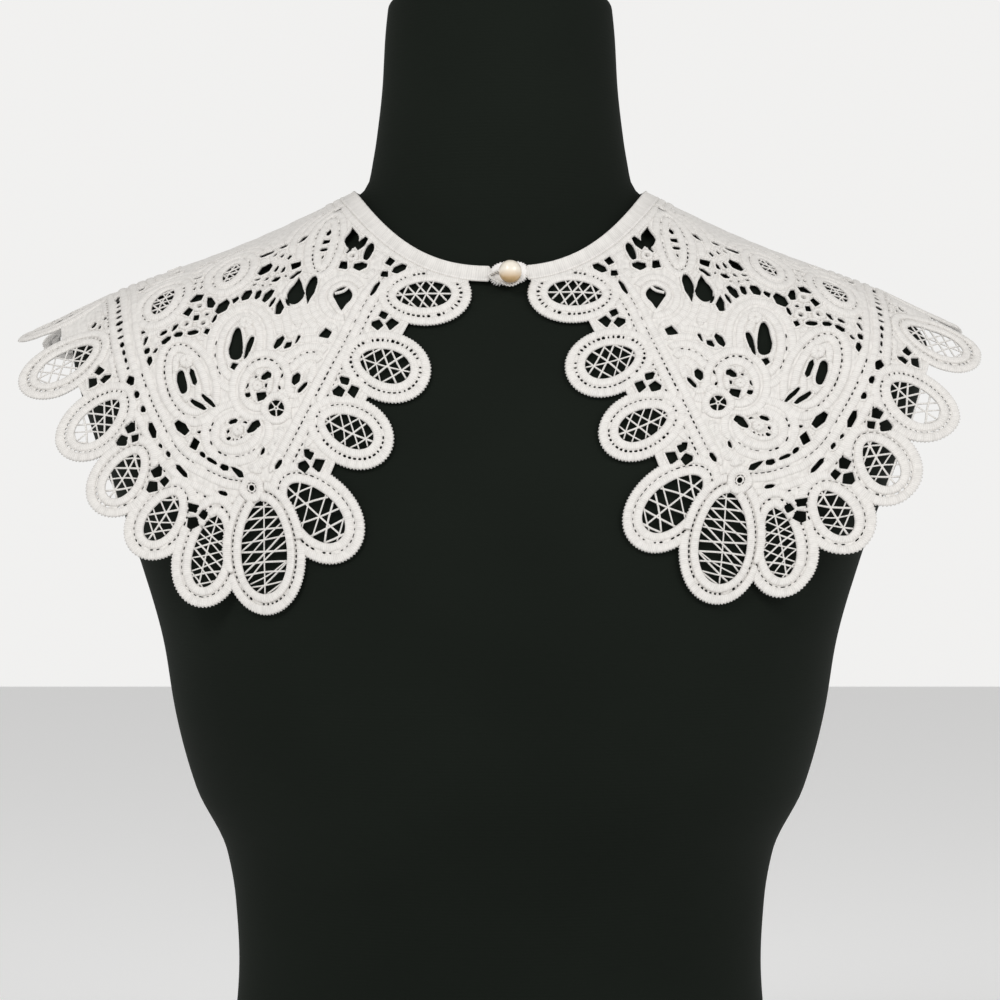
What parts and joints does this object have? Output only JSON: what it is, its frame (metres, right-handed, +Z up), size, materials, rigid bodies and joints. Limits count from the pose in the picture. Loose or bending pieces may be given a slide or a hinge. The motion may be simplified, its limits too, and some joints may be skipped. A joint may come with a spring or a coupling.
{
  "type": "lace collar on a dress form",
  "caption": "Wide lace cape collar with scalloped medallions, a narrow neck band and a loop-and-button front closure, resting on a limbless dress form.",
  "frame": {"origin": "centre of the dress form's flat base, under the middle of its neck", "axes": "+Z up along the neck, -Y towards the chest, +X towards the side with the button tab"},
  "size_m": [0.4388, 0.234, 0.58],
  "materials": {
    "form_cloth": "black knitted cover, matt",
    "lace_cotton": "white cotton chemical lace, satin-stitched",
    "band_cotton": "white cotton tape",
    "loop_thread": "twisted white thread",
    "pearl": "pearl-coated plastic, cream"
  },
  "bodies": {
    "root": {"dress_form": "form_cloth", "lace_left": "lace_cotton", "lace_right": "lace_cotton", "neck_band": "band_cotton", "button_tab": "band_cotton", "button_loop": "loop_thread", "pearl_button": "pearl"}
  },
  "joints": []
}
